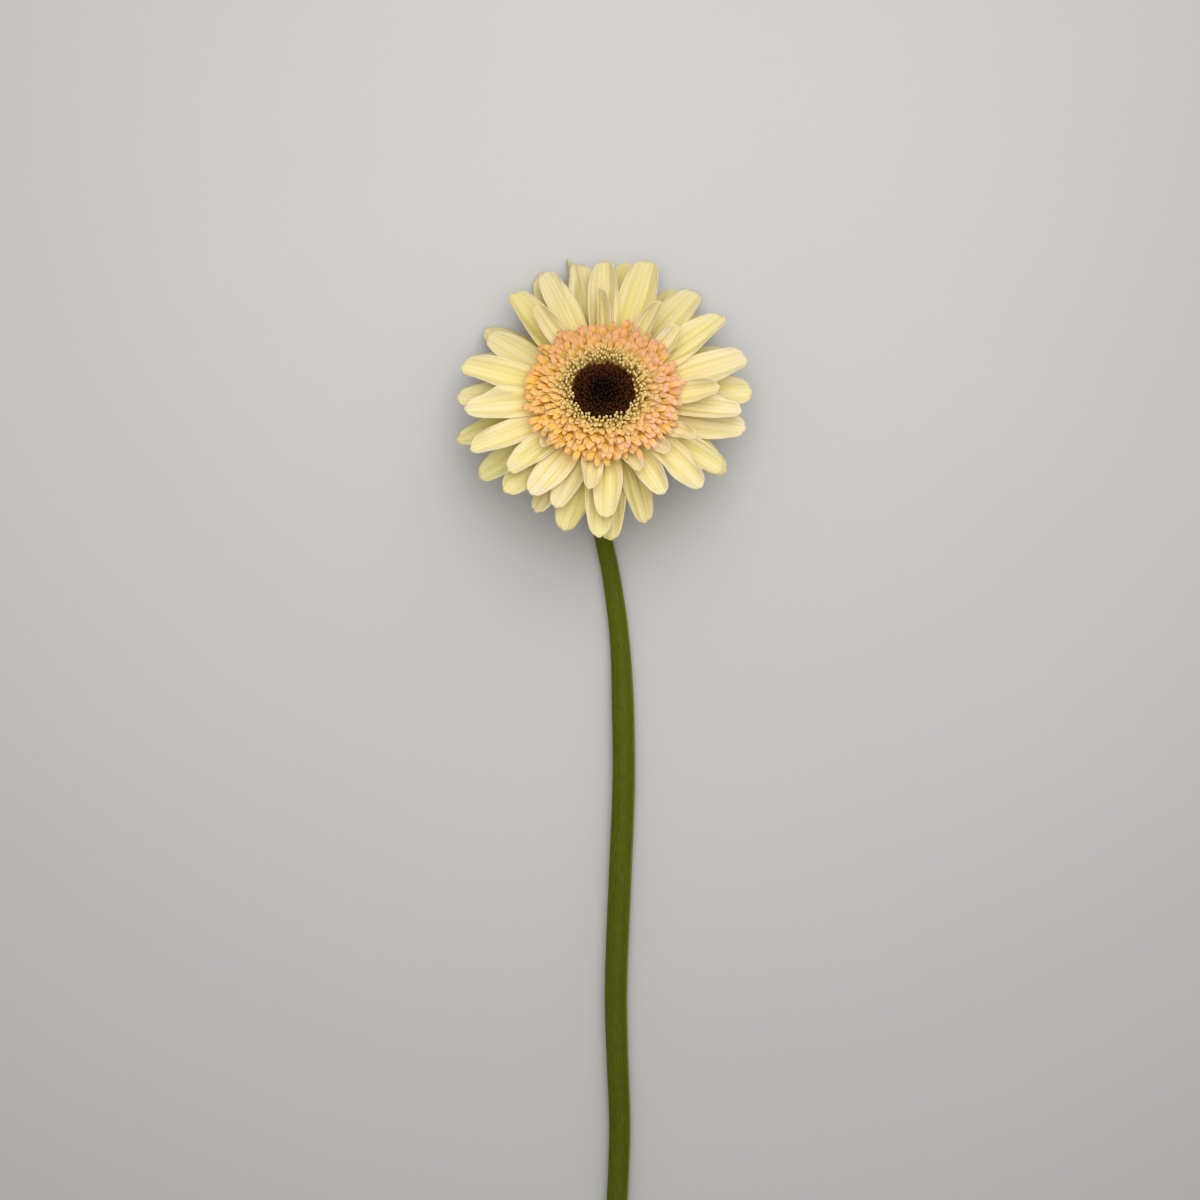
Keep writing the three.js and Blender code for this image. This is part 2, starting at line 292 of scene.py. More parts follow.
def makeRuffPeach():
    # along 0 at the foot and 1 at the tip, ring the distance from the middle, tint 0 to 1 for each floret
    material, tree, shader = newMaterial("ruffPeach", {
        "Subsurface Weight": 0.6, "Subsurface Radius": (1.0, 0.5, 0.2), "Subsurface Scale": 0.0008,
        "Specular IOR Level": 0.15})
    look = ruffLook
    along, across, tint = named(tree, "along"), named(tree, "across"), named(tree, "tint")
    noise = grain(tree, look)
    lines = veins(tree, look, across, along)
    place = put(tree, "ShaderNodeSeparateXYZ", {0: put(tree, "ShaderNodeTexCoord").outputs["Object"]})
    beyond = maths(tree, "SUBTRACT", place.outputs["Y"], float(headMiddle[1]))
    slant = maths(tree, "MULTIPLY_ADD", beyond, 0.5, place.outputs["X"])
    side = mapped(tree, slant, *look["blushSlant"], *look["blushSide"])
    blush = maths(tree, "MULTIPLY_ADD", tint, look["blushChance"], side)
    blush = times(tree, blush, mapped(tree, along, 0.55, 1.0))
    blush = put(tree, "ShaderNodeClamp", {"Value": blush, "Min": 0.0, "Max": look["blushMost"]}).outputs[0]
    colour = layered(
        tree, ramp(tree, along, look["footToTip"]),
        (blush, look["blush"]),
        (mapped(tree, named(tree, "ring"), *look["youngRing"], look["youngShare"], 0.0), look["young"]),
        (mapped(tree, noise["Patches"], 0.35, 0.75, 0.0, look["patchShare"]), look["patch"]),
        (times(tree, lines["Lines"], look["lineShare"]), look["line"]),
        (mapped(tree, beyond, *look["farBeyond"], 0.0, look["farShare"]), look["farShade"], "MULTIPLY"))
    finishMaterial(tree, shader, colour, noise, look, lines)
    return material


antherLook = {
    "footToTip": [(0.00, (0.16, 0.07, 0.01)), (0.50, (0.42, 0.23, 0.03)), (0.72, (0.66, 0.44, 0.10)),
                  (0.90, (0.84, 0.64, 0.22)), (1.00, (0.90, 0.76, 0.36))],
    "older": (0.42, 0.24, 0.05), "olderShare": 0.35,
    "patch": (0.50, 0.36, 0.10), "patchShare": 0.3,
    "patchSize": 0.001, "cellSize": 0.00015, "roughness": (0.5, 0.75), "relief": 0.00005,
}


def makeAntherYellow():
    material, tree, shader = newMaterial("antherYellow", {"Specular IOR Level": 0.3})
    look = antherLook
    noise = grain(tree, look)
    colour = layered(
        tree, ramp(tree, named(tree, "along"), look["footToTip"]),
        (times(tree, named(tree, "tint"), look["olderShare"]), look["older"]),
        (mapped(tree, noise["Patches"], 0.4, 0.7, 0.0, look["patchShare"]), look["patch"]))
    finishMaterial(tree, shader, colour, noise, look)
    return material


eyeLook = {
    "footToTip": [(0.00, (0.004, 0.002, 0.001)), (0.60, (0.010, 0.004, 0.001)),
                  (1.00, (0.022, 0.007, 0.002))],
    "outer": (0.125, 0.032, 0.006), "outerShare": (0.3, 0.9),       # least and most, by chance
    "middle": (0.004, 0.0015, 0.0006), "middleShare": 0.8,
    "patch": (0.012, 0.006, 0.002), "patchShare": 0.5,
    "patchSize": 0.0012, "cellSize": 0.00015, "roughness": (0.38, 0.62), "relief": 0.00005,
}


def makeEyeBrown():
    # rim 0 in the eye's middle and 1 at its edge
    material, tree, shader = newMaterial("eyeBrown", {"Specular IOR Level": 0.12})
    look = eyeLook
    tint, rim = named(tree, "tint"), named(tree, "rim")
    noise = grain(tree, look)
    outer = times(tree, mapped(tree, rim, 0.3, 1.0), mapped(tree, tint, 0.0, 1.0, *look["outerShare"]))
    colour = layered(
        tree, ramp(tree, named(tree, "along"), look["footToTip"]),
        (outer, look["outer"]),
        (mapped(tree, rim, 0.55, 0.1, 0.0, look["middleShare"]), look["middle"]),
        (mapped(tree, noise["Patches"], 0.45, 0.75, 0.0, look["patchShare"]), look["patch"]))
    finishMaterial(tree, shader, colour, noise, look)
    return material


greens = {
    # the stem's lower colour is painted shade, darker further from the neck
    "stemGreen": {"light": (0.104, 0.119, 0.006), "dark": (0.063, 0.073, 0.002), "veins": 12.0,
                  "lower": (0.70, 0.74, 0.50), "lowerAlong": (6.0, 34.0), "pith": (0.55, 0.60, 0.30)},
    "calyxGreen": {"light": (0.130, 0.170, 0.030), "dark": (0.060, 0.085, 0.010), "veins": 3.0,
                   "tip": (0.10, 0.035, 0.015), "tipShare": 0.7},
}
greenSkin = {
    "fuzz": (0.16, 0.19, 0.03), "patchShare": 0.35, "lineShare": 0.25,
    "patchSize": 0.007, "cellSize": 0.0003, "veinDrift": 0.8,
    "roughness": (0.42, 0.60), "lineRelief": 0.5, "cellRelief": 0.4, "relief": 0.00008,
}


def makeGreen(name):
    # lengthwise streaks and a soft bloom; the stem darkens lower down with painted shade, and the bracts
    # redden at the tip
    material, tree, shader = newMaterial(name, {
        "Subsurface Weight": 0.12, "Subsurface Radius": (0.8, 1.0, 0.2), "Subsurface Scale": 0.0008,
        "Specular IOR Level": 0.06, "Sheen Weight": 0.45, "Sheen Roughness": 0.32,
        "Sheen Tint": (0.85, 0.95, 0.12, 1)})
    look = {**greenSkin, **greens[name]}
    along = named(tree, "along")
    noise = grain(tree, look)
    lines = veins(tree, look, named(tree, "across"), along)
    if "tip" in look:
        last = [(times(tree, named(tree, "tip"), look["tipShare"]), look["tip"])]
    else:
        # painted shade: the stem darkens away from the neck
        last = [(mapped(tree, along, *look["lowerAlong"]), look["lower"], "MULTIPLY"),
                (named(tree, "pith"), look["pith"])]
    colour = layered(
        tree, look["dark"],
        (mapped(tree, lines["Streaks"], 0.3, 0.7), look["light"]),
        (mapped(tree, noise["Patches"], 0.35, 0.7, 0.0, look["patchShare"]), look["dark"]),
        (times(tree, lines["Lines"], look["lineShare"]), look["light"]),
        (named(tree, "fuzz"), look["fuzz"]),
        *last)
    finishMaterial(tree, shader, colour, noise, look, lines)
    return material


petalCream = makePetalCream()
ruffPeach = makeRuffPeach()
antherYellow = makeAntherYellow()
eyeBrown = makeEyeBrown()
stemGreen = makeGreen("stemGreen")
calyxGreen = makeGreen("calyxGreen")
print("finishes made")

# mesh helpers


def meshFrom(name, points, faces, values=None):
    mesh = bpy.data.meshes.new(name)
    mesh.from_pydata([tuple(p) for p in points], [], [tuple(int(i) for i in f) for f in faces])
    mesh.polygons.foreach_set("use_smooth", [True] * len(mesh.polygons))
    for label, numbers in (values or {}).items():
        made = mesh.attributes.new(label, "FLOAT", "POINT")
        made.data.foreach_set("value", np.asarray(numbers, np.float32))
    mesh.update()
    return mesh


def objectFrom(name, data, material=None):
    made = bpy.data.objects.new(name, data)
    bpy.context.scene.collection.objects.link(made)
    if material:
        data.materials.clear()
        data.materials.append(material)
    return made


def finishPiece(piece, slotName, *nodes):
    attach(piece, "root")
    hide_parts(*nodes)


def sheetNormals(grid):
    along = np.gradient(grid, axis=0)
    across = np.gradient(grid, axis=1)
    normal = np.cross(along, across)
    return normal / np.maximum(np.linalg.norm(normal, axis=2, keepdims=True), 1e-12)


def shellFrom(grid, half):
    # a closed thin shell round a sheet of points; rows run along it, columns across it
    rows, columns = grid.shape[:2]
    normal = sheetNormals(grid)
    points = np.concatenate([(grid + normal * half[..., None]).reshape(-1, 3),
                             (grid - normal * half[..., None]).reshape(-1, 3)])
    number = np.arange(rows * columns).reshape(rows, columns)
    a, b, c, d = number[:-1, :-1], number[1:, :-1], number[1:, 1:], number[:-1, 1:]
    top = np.stack([a, b, c, d], -1).reshape(-1, 4)
    under = np.stack([d, c, b, a], -1).reshape(-1, 4) + rows * columns
    ring = np.concatenate([number[0, :], number[1:, -1], number[-1, -2::-1], number[-2:0:-1, 0]])
    after = np.roll(ring, -1)
    rim = np.stack([ring, after, after + rows * columns, ring + rows * columns], -1)
    return points, np.concatenate([top, under, rim])


def ringFaces(a, b):
    # four-sided faces between rings of point numbers and the rings after them
    return np.stack([a, np.roll(a, -1, 1), np.roll(b, -1, 1), b], -1).reshape(-1, 4)


def doubled(values):
    # the same values for both sides of a shell
    return {label: np.tile(numbers.reshape(-1), 2) for label, numbers in values.items()}


# ray florets

rays = {
    "rows": 30,
    "columns": 21,
    "thickness": 0.36,      # mm at the foot's middle
    "edge": 0.13,           # mm at the margin
    "footWidth": 0.66,      # share of the widest
    "tipRound": 0.165,      # share of the length that the rounded tip takes
    "groove": 0.52,         # mm
    "grooveAt": 0.36,       # share of the half width
    "grooveWide": 0.15,
    "tooth": 0.32,          # mm
    "toothAt": 0.34,        # share of the half width
    "toothWide": 0.12,
    "fullWidthAt": 0.60,    # share of the length
    "tipNarrower": 0.26,
    "ribHeight": 0.06,      # mm
    "ribs": 15,             # radians of rib wave over half the width
    "ripples": 11,          # radians of ripple along the length
    "table": 0.35,          # mm, the lowest that a floret's middle sheet lies
    "landing": 0.6,         # mm above that over which it eases down
    "farLonger": 0.055,     # share that florets facing away from the stem are longer
    # painted shade: florets facing away from the stem are tinted greener and made darker
    "farGreener": 0.10,
    "farDimmer": 0.85,
    "seed": 41,
}

# what single florets do: cup and fold lift the margins, twist is in degrees, sway and curl are mm at the tip;
# their darkening is painted shade, and a tint below 0 is greener, partly painted shade
rayWays = {
    "outer_05": {"twist": 70, "wide": 0.85, "tint": -0.5, "long": 1.03, "curl": 1.2, "sway": -1.2},
    "inner_04": {"wide": 0.62, "fold": 0.75, "tint": 0.1, "dim": 0.8},
    "inner_03": {"wide": 0.85, "fold": 0.3, "tint": 0.0, "dim": 0.9, "curl": 2.6},
    "middle_04": {"long": 1.05, "wide": 1.15},
    "middle_03": {"long": 1.02, "wide": 1.1},
    "outer_14": {"groove": 2.0, "tint": -0.5, "dim": 0.8},
    "upper_01": {"wide": 1.22, "groove": 1.5},
    "upper_02": {"wide": 1.15, "groove": 1.7, "tint": -0.15},
    "upper_08": {"wide": 1.18, "cup": 0.1},
    "upper_11": {"wide": 1.2, "cup": 0.05},
    "inner_01": {"cup": 0.7, "tint": -0.1, "wide": 1.1},
    "upper_03": {"wide": 1.22, "tooth": 1.5, "tint": -0.35},
    "upper_06": {"cup": 0.55, "tint": -0.45, "wide": 1.1},
    "upper_07": {"cup": 0.5, "tint": -0.2},
}

# lowest and highest of what chance adds to each floret, drawn in this order
rayChances = {
    "twist": (-20, 20), "sway": (-1.9, 1.9), "wide": (0.94, 1.10), "tooth": (0.5, 1.3),
    "groove": (0.7, 1.3), "dim": (0, 0.25), "fold": (-0.07, 0.11), "round": (0.85, 1.25),
    "ripple": (0.15, 0.55), "phase": (0, 6.28), "lean": (-0.25, 0.25),
    "moreTint": (-0.16, 0.16), "moreCurl": (-0.5, 0.5), "moreCup": (-0.22, 0.2),
}

# the greener tint of the lower layers is painted shade from the layers over them; the inner florets' pink is
# their own
layerWays = {
    "outer": {"spread": 1.42, "cup": 0.14, "tint": -0.60, "curl": -0.4},
    "middle": {"spread": 1.34, "cup": 0.30, "tint": -0.22, "curl": 0.0},
    "upper": {"spread": 1.22, "cup": 0.32, "tint": -0.04, "curl": 0.2},
    "inner": {"spread": 1.06, "cup": 0.42, "tint": 0.50, "curl": 1.4},
}


def raySpine(name):
    points = toHead(cadPoints(name))
    turn = math.atan2(points[:, 1].mean(), points[:, 0].mean())
    out = points[:, 0] * math.cos(turn) + points[:, 1] * math.sin(turn)
    side = -points[:, 0] * math.sin(turn) + points[:, 1] * math.cos(turn)
    middle = np.abs(side) < 0.3 * mm
    spine = np.polyfit(out[middle], points[middle, 2], 4)
    return turn, out.min(), out.max(), np.abs(side).max(), spine


def rayShape(name, rng):
    # the floret's middle sheet in the head's axes, half its thickness and the values its finish reads
    layer = name.split("_")[2]
    drawn = {label: rng.uniform(low, high) for label, (low, high) in rayChances.items()}
    ways = {"long": 1.0, **drawn, **layerWays[layer]}
    for label in ("tint", "curl", "cup"):
        ways[label] += drawn["more" + label.capitalize()]
    ways.update(rayWays.get(name.replace("ray_floret_", ""), {}))
    lean, phase = ways["lean"], ways["phase"]

    turn, foot, tip, half, spine = raySpine(name)
    half *= ways["wide"] * ways["spread"]
    farSide = max(math.sin(turn), 0.0)
    tip = foot + (tip - foot) * ways["long"] * (1 + rays["farLonger"] * farSide)
    # painted shade on the far side, greener and darker
    ways["tint"] -= rays["farGreener"] * farSide
    ways["dim"] += rays["farDimmer"] * farSide
    turnAcross = np.linspace(-1, 1, rays["columns"])
    across = 0.45 * turnAcross + 0.55 * np.sin(turnAcross * math.pi / 2)
    share = np.linspace(0, 1, rays["rows"]) ** 0.92
    s, t = np.meshgrid(share, across, indexing="ij")

    def bumpAt(place, wide):
        return np.exp(-((t - place) / wide) ** 2)

    toothShift = 0.1 * lean
    notch = sum(bumpAt(at + toothShift, rays["toothWide"]) for at in (-rays["toothAt"], rays["toothAt"]))
    rounding = rays["tipRound"] * ways["round"] * (1 - np.sqrt(np.maximum(1 - 0.985 * t ** 2, 0)))
    length = tip - foot
    reach = 1 - rounding - notch * rays["tooth"] * mm * ways["tooth"] / length
    widest = rays["fullWidthAt"]
    rise = np.clip(s / widest, 0, 1)
    width = rays["footWidth"] + (1 - rays["footWidth"]) * (1 - np.cos(math.pi * rise)) / 2
    width = width * (1 - rays["tipNarrower"] * np.clip((s - widest) / (1 - widest), 0, 1) ** 2)
    out = foot + length * (s * (1 + (reach - 1) * np.clip((s - 0.35) / 0.65, 0, 1) ** 1.5))
    up = np.polyval(spine, out)
    slope = np.polyval(np.polyder(spine), out)

    # how far the surface lies off that line: cupped, folded, grooved, rippled and finely ribbed
    gate = np.clip(s / 0.25, 0, 1) * (1 - 0.75 * np.clip((s - 0.8) / 0.2, 0, 1))
    valley = sum(bumpAt(at, rays["grooveWide"]) for at in (-rays["grooveAt"], rays["grooveAt"]))
    x = half * width * t
    bowl = ways["cup"] * t ** 2 * (0.6 + 0.8 * s)
    h = half * width * (bowl + ways["fold"] * np.abs(t) * 2 + lean * 0.12 * t * s)
    h = h - rays["groove"] * mm * ways["groove"] * valley * gate
    h = h + ways["ripple"] * mm * t ** 2 * np.sin(s * rays["ripples"] + phase) * s
    h = h + rays["ribHeight"] * mm * np.cos(t * rays["ribs"] + phase) * gate
    angle = math.radians(ways["twist"]) * np.clip((s - 0.15) / 0.7, 0, 1) ** 1.2
    sideways = x * np.cos(angle) - h * np.sin(angle) + ways["sway"] * mm * s ** 2
    rising = x * np.sin(angle) + h * np.cos(angle)
    up = up + ways["curl"] * mm * s ** 3
    level = 1 / np.sqrt(1 + slope ** 2)
    out = out - rising * slope * level
    up = up + rising * level

    grid = np.stack([out * math.cos(turn) - sideways * math.sin(turn),
                     out * math.sin(turn) + sideways * math.cos(turn), up], -1)
    grid = fromHead(grid)
    # it eases down onto the table instead of going through it
    floor, landing = rays["table"] * mm, rays["landing"] * mm
    eased = floor + landing * np.exp((grid[..., 2] - floor - landing) / landing)
    grid[..., 2] = np.where(grid[..., 2] < floor + landing, np.minimum(eased, floor + landing), grid[..., 2])
    thick = (rays["edge"] + (rays["thickness"] - rays["edge"]) * (1 - t ** 4) * (1 - 0.45 * s)) * mm
    # painted shade in the grooves and in the middle of a cupped floret
    hollow = np.clip(0.7 * valley * gate + 0.35 * (1 - t ** 2) * (ways["cup"] > 0.3), 0, 1)
    # a paler margin, partly a painted highlight where the raised rims of cupped florets catch the light
    edge = 0.3 * np.abs(t) ** 4 * np.clip(1.5 * ways["cup"], 0.1, 1)
    # the stored darkening is painted shade, with some random tone
    values = {"along": s, "across": t, "hollow": hollow, "edge": edge,
              "tint": np.full(s.shape, ways["tint"]), "dim": np.full(s.shape, ways["dim"])}
    return toHead(grid), thick / 2, values


# a map of heights over the face of the head, for laying each floret on those under it
pile = {
    "cell": 0.3,        # mm, one square of the map
    "reach": 45.0,      # mm from the head's middle to the map's edge
    "gap": 0.12,        # mm between a floret and what it lies on
    "passes": 60,       # how far a raised place takes the rest of the floret along
    "finer": 4,
}


def finer(grid, parts):
    # the same sheet with more points, straight between the old ones
    for axis in (0, 1):
        count = grid.shape[axis]
        at = np.linspace(0, count - 1, (count - 1) * parts + 1)
        low = np.minimum(at.astype(int), count - 2)
        share = (at - low).reshape([-1 if k == axis else 1 for k in range(grid.ndim)])
        grid = np.take(grid, low, axis) * (1 - share) + np.take(grid, low + 1, axis) * share
    return grid


def layOn(heights, grid, half):
    # raises a floret clear of what the map holds, as smoothly as it can, and adds it to the map
    parts, cell = pile["finer"], pile["cell"] * mm
    fine = finer(np.concatenate([grid, half[..., None]], -1), parts)
    last = len(heights) - 1
    square = np.clip(((fine[..., :2] + pile["reach"] * mm) / cell).astype(int), 0, last)
    spots = (square[..., 0], square[..., 1])
    need = np.maximum(heights[spots] + pile["gap"] * mm + fine[..., 3] - fine[..., 2], 0)
    lift = 0 * need
    for _ in range(pile["passes"] * parts):
        around = np.pad(lift, 1, mode="edge")
        even = (around[:-2, 1:-1] + around[2:, 1:-1] + around[1:-1, :-2] + around[1:-1, 2:]) / 4
        lift = np.maximum(need, even)
    top = fine[..., 2] + lift + fine[..., 3]
    for step in np.ndindex(3, 3):
        near = tuple(np.clip(spot + k - 1, 0, last) for spot, k in zip(spots, step))
        np.maximum.at(heights, near, top)
    grid[..., 2] += lift[::parts, ::parts]


def rayPiece(name, grid, half, values):
    # turned over across its width, so that its upper side faces up
    points, faces = shellFrom(fromHead(grid)[:, ::-1], half[:, ::-1])
    values = doubled({label: numbers[:, ::-1] for label, numbers in values.items()})
    mesh = meshFrom(name, points, faces, values)
    finishPiece(objectFrom(name.replace("ray_floret_", "rayFloret_"), mesh, petalCream), "petal_cream", name)


rng = np.random.default_rng(rays["seed"])
rayNames = sorted(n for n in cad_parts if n.startswith("ray_floret_"))
rayShapes = {name: rayShape(name, rng) for name in rayNames}
heights = np.full((int(2 * pile["reach"] / pile["cell"]),) * 2, -1.0)
for layer in layerWays:
    members = [name for name in rayNames if name.split("_")[2] == layer]
    for name in members[::2] + members[1::2]:
        grid, half, values = rayShapes[name]
        layOn(heights, grid, half)
        rayPiece(name, grid, half, values)
print("ray florets made:", len(rayNames))

# small florets set out by Geometry Nodes


def endTree(tree, copies, given, result):
    # makes the copies real, joins them to the shape that came in and gives all of it the material
    real = put(tree, "GeometryNodeRealizeInstances", {"Geometry": copies})
    both = put(tree, "GeometryNodeJoinGeometry")
    tree.links.new(real.outputs[0], both.inputs[0])
    tree.links.new(given["Geometry"], both.inputs[0])
    done = put(tree, "GeometryNodeSetMaterial", {"Geometry": both.outputs[0], "Material": given["Material"]})
    tree.links.new(done.outputs[0], result["Geometry"])


def makeWhorlTree():
    # sets a small floret on the points of a sunflower spiral between two radii, leaning outwards
    tree, given, result = newGroup(
        "floretWhorl", "GeometryNodeTree",
        [("Geometry", "NodeSocketGeometry", None), ("Floret", "NodeSocketObject", None),
         ("Count", "NodeSocketInt", 100),
         ("Inner Radius", "NodeSocketFloat", 0.01), ("Outer Radius", "NodeSocketFloat", 0.02),
         ("Inner Height", "NodeSocketFloat", 0.0), ("Outer Height", "NodeSocketFloat", 0.0),
         ("Dome", "NodeSocketFloat", 0.0),
         ("Inner Lean", "NodeSocketFloat", 0.0), ("Outer Lean", "NodeSocketFloat", 0.5),
         ("Wobble", "NodeSocketFloat", 0.1), ("Twist", "NodeSocketFloat", 0.1),
         ("Size", "NodeSocketFloat", 1.0), ("Size Spread", "NodeSocketFloat", 0.1),
         ("Seed", "NodeSocketInt", 1), ("Material", "NodeSocketMaterial", None)],
        [("Geometry", "NodeSocketGeometry")])

    def chance(low, high, shift):
        made = put(tree, "FunctionNodeRandomValue", {"Min": low, "Max": high}, data_type="FLOAT")
        tree.links.new(maths(tree, "ADD", given["Seed"], shift), made.inputs["Seed"])
        return enabledSocket(made.outputs)

    def between(low, high, share):
        return maths(tree, "MULTIPLY_ADD", maths(tree, "SUBTRACT", high, low), share, low)

    index = put(tree, "GeometryNodeInputIndex").outputs[0]
    share = maths(tree, "DIVIDE", maths(tree, "ADD", index, 0.5), given["Count"])
    squares = [times(tree, given[label], given[label]) for label in ("Inner Radius", "Outer Radius")]
    radius = maths(tree, "SQRT", between(*squares, share))
    rim = maths(tree, "DIVIDE", maths(tree, "SUBTRACT", radius, given["Inner Radius"]),
                maths(tree, "SUBTRACT", given["Outer Radius"], given["Inner Radius"]))
    goldenAngle = math.pi * (3 - math.sqrt(5))
    turn = times(tree, index, goldenAngle)
    bulge = times(tree, times(tree, rim, maths(tree, "SUBTRACT", 1.0, rim)), 4.0)
    height = maths(tree, "MULTIPLY_ADD", given["Dome"], bulge,
                   between(given["Inner Height"], given["Outer Height"], rim))
    place = put(tree, "ShaderNodeCombineXYZ", {
        "X": times(tree, radius, maths(tree, "COSINE", turn)),
        "Y": times(tree, radius, maths(tree, "SINE", turn)), "Z": height})
    points = put(tree, "GeometryNodePoints", {"Count": given["Count"], "Position": place.outputs[0]})
    wobble = times(tree, given["Wobble"], -1.0)
    lean = maths(tree, "ADD", between(given["Inner Lean"], given["Outer Lean"], rim),
                 chance(wobble, given["Wobble"], 1))
    spin = maths(tree, "ADD", turn, chance(wobble, given["Wobble"], 2))
    twist = chance(times(tree, given["Twist"], -1.0), given["Twist"], 6)
    facing = put(tree, "FunctionNodeEulerToRotation", {
        0: put(tree, "ShaderNodeCombineXYZ", {"Y": lean, "Z": spin}).outputs[0]})
    own = put(tree, "FunctionNodeEulerToRotation", {
        0: put(tree, "ShaderNodeCombineXYZ", {"Z": twist}).outputs[0]})
    turned = put(tree, "FunctionNodeRotateRotation", {0: facing.outputs[0], 1: own.outputs[0]},
                 rotation_space="LOCAL")
    smallest = times(tree, given["Size"], maths(tree, "SUBTRACT", 1.0, given["Size Spread"]))
    largest = times(tree, given["Size"], maths(tree, "ADD", 1.0, given["Size Spread"]))
    size = chance(smallest, largest, 3)
    floret = put(tree, "GeometryNodeObjectInfo", {"Object": given["Floret"]}).outputs["Geometry"]
    placed = put(tree, "GeometryNodeInstanceOnPoints", {
        "Points": points.outputs[0], "Instance": floret, "Rotation": turned.outputs[0], "Scale": size})
    shape = placed.outputs[0]
    for label, value in (("tint", chance(0.0, 1.0, 4)), ("rim", rim), ("ring", radius)):
        kept = {"Geometry": shape, "Name": label, "Value": value}
        shape = put(tree, "GeometryNodeStoreNamedAttribute", kept,
                    data_type="FLOAT", domain="INSTANCE").outputs[0]
    endTree(tree, shape, given, result)
    return tree


whorlTree = makeWhorlTree()


def fromTree(name, tree, values, start):
    # runs the tree on the mesh it starts from and keeps the result as a plain mesh
    carrier = objectFrom(name + "Carrier", start)
    modifier = carrier.modifiers.new("nodes", "NODES")
    modifier.node_group = tree
    sockets = {s.name: s.identifier for s in tree.interface.items_tree if s.in_out == "INPUT"}
    for label, value in values.items():
        modifier[sockets[label]] = value
    bpy.context.view_layer.update()
    evaluated = carrier.evaluated_get(bpy.context.evaluated_depsgraph_get())
    mesh = bpy.data.meshes.new_from_object(evaluated)
    carrier.modifiers.remove(modifier)
    bpy.data.objects.remove(carrier)
    mesh.name = name
    mesh.polygons.foreach_set("use_smooth", [True] * len(mesh.polygons))
    return mesh


bedSides = 72


def bedShape(name, profile, along):
    # the fleshy ring or dome that small florets stand on: a closed outline in mm, turned round the axis
    turn = np.linspace(0, 2 * math.pi, bedSides, endpoint=False)
    r, z = np.array(profile).T * mm
    points = np.stack([r[:, None] * np.cos(turn), r[:, None] * np.sin(turn), z[:, None] + 0 * turn], -1)
    number = np.arange(r.size * bedSides).reshape(r.size, bedSides)
    ones = np.ones(number.size)
    values = {"along": along * ones, "across": 0 * ones, "tint": 0.3 * ones, "rim": 0.6 * ones,
              "ring": np.repeat(r, bedSides)}
    return meshFrom(name, points.reshape(-1, 3), ringFaces(number, np.roll(number, -1, 0)), values)


def whorlPiece(name, shape, bed, values, material, slotName, *nodes):
    # values are in mm and degrees
    floret = objectFrom(name + "Shape", shape)
    settings = {"Floret": floret, "Material": material}
    for label, value in values.items():
        if label.endswith(("Radius", "Height", "Dome")):
            value *= mm
        elif label.endswith("Lean"):
            value = math.radians(value)
        settings[label] = value
    mesh = fromTree(name, whorlTree, settings, bed)
    bpy.data.objects.remove(floret)
    mesh.transform(headMatrix)
    finishPiece(objectFrom(name, mesh, material), slotName, *nodes)


def tongueShape(name, size):
    # a small two-sided tongue: rises along Z, then bends out along X, with a rounded tip
    lengthwise, crosswise = np.linspace(0, 1, size["rows"]) ** 0.75, np.linspace(-1, 1, size["columns"])
    s, t = np.meshgrid(lengthwise, crosswise, indexing="ij")
    half = size["width"] / 2 * (0.35 + 0.65 * np.clip(s / 0.7, 0, 1) ** 0.8) * (1 - 0.12 * (s > 0.9))
    reach = s * (1 - size["round"] * (1 - np.sqrt(1 - 0.95 * t ** 2)) * np.clip((s - 0.4) / 0.6, 0, 1))
    steps = 59
    fine = np.linspace(0, 1, steps + 1)
    bend = np.radians(size["bend"]) * fine ** 1.6
    outward = np.concatenate([[0], np.cumsum(np.sin(bend[1:]) / steps)])
    upward = np.concatenate([[0], np.cumsum(np.cos(bend[1:]) / steps)])
    angle = np.radians(size["bend"]) * reach ** 1.6
    lift = size["cup"] * half * t ** 2
    x = size["length"] * np.interp(reach, fine, outward) - lift * np.cos(angle)
    z = size["length"] * np.interp(reach, fine, upward) + lift * np.sin(angle)
    grid = np.stack([x, half * t, z], -1) * mm
    thick = (size["thickness"] * (1 - 0.4 * t ** 2)) * mm / 2
    return meshFrom(name, *shellFrom(grid, thick), doubled({"along": s, "across": t}))


def clubShape(name, size):
    # a slim stalk that ends in a rounded head, closed at both ends; rings are height and radius in mm
    sides, rings = size["sides"], size["rings"]
    points, along, across = [(0, 0, 0)], [0.0], [0.0]
    for place, radius in rings:
        for k in range(sides):
            turn = 2 * math.pi * k / sides
            points.append((radius * mm * math.cos(turn), radius * mm * math.sin(turn), place * mm))
            along.append(place / size["length"])
            across.append(math.sin(turn))
    points.append((0, 0, size["length"] * mm))
    along.append(1.0)
    across.append(0.0)
    faces = [(0, 1 + (k + 1) % sides, 1 + k) for k in range(sides)]
    for ring in range(len(rings) - 1):
        base = 1 + ring * sides
        for k in range(sides):
            after = (k + 1) % sides
            faces.append((base + k, base + after, base + sides + after, base + sides + k))
    base = 1 + (len(rings) - 1) * sides
    faces += [(base + k, base + (k + 1) % sides, len(points) - 1) for k in range(sides)]
    return meshFrom(name, points, faces, {"along": along, "across": across})


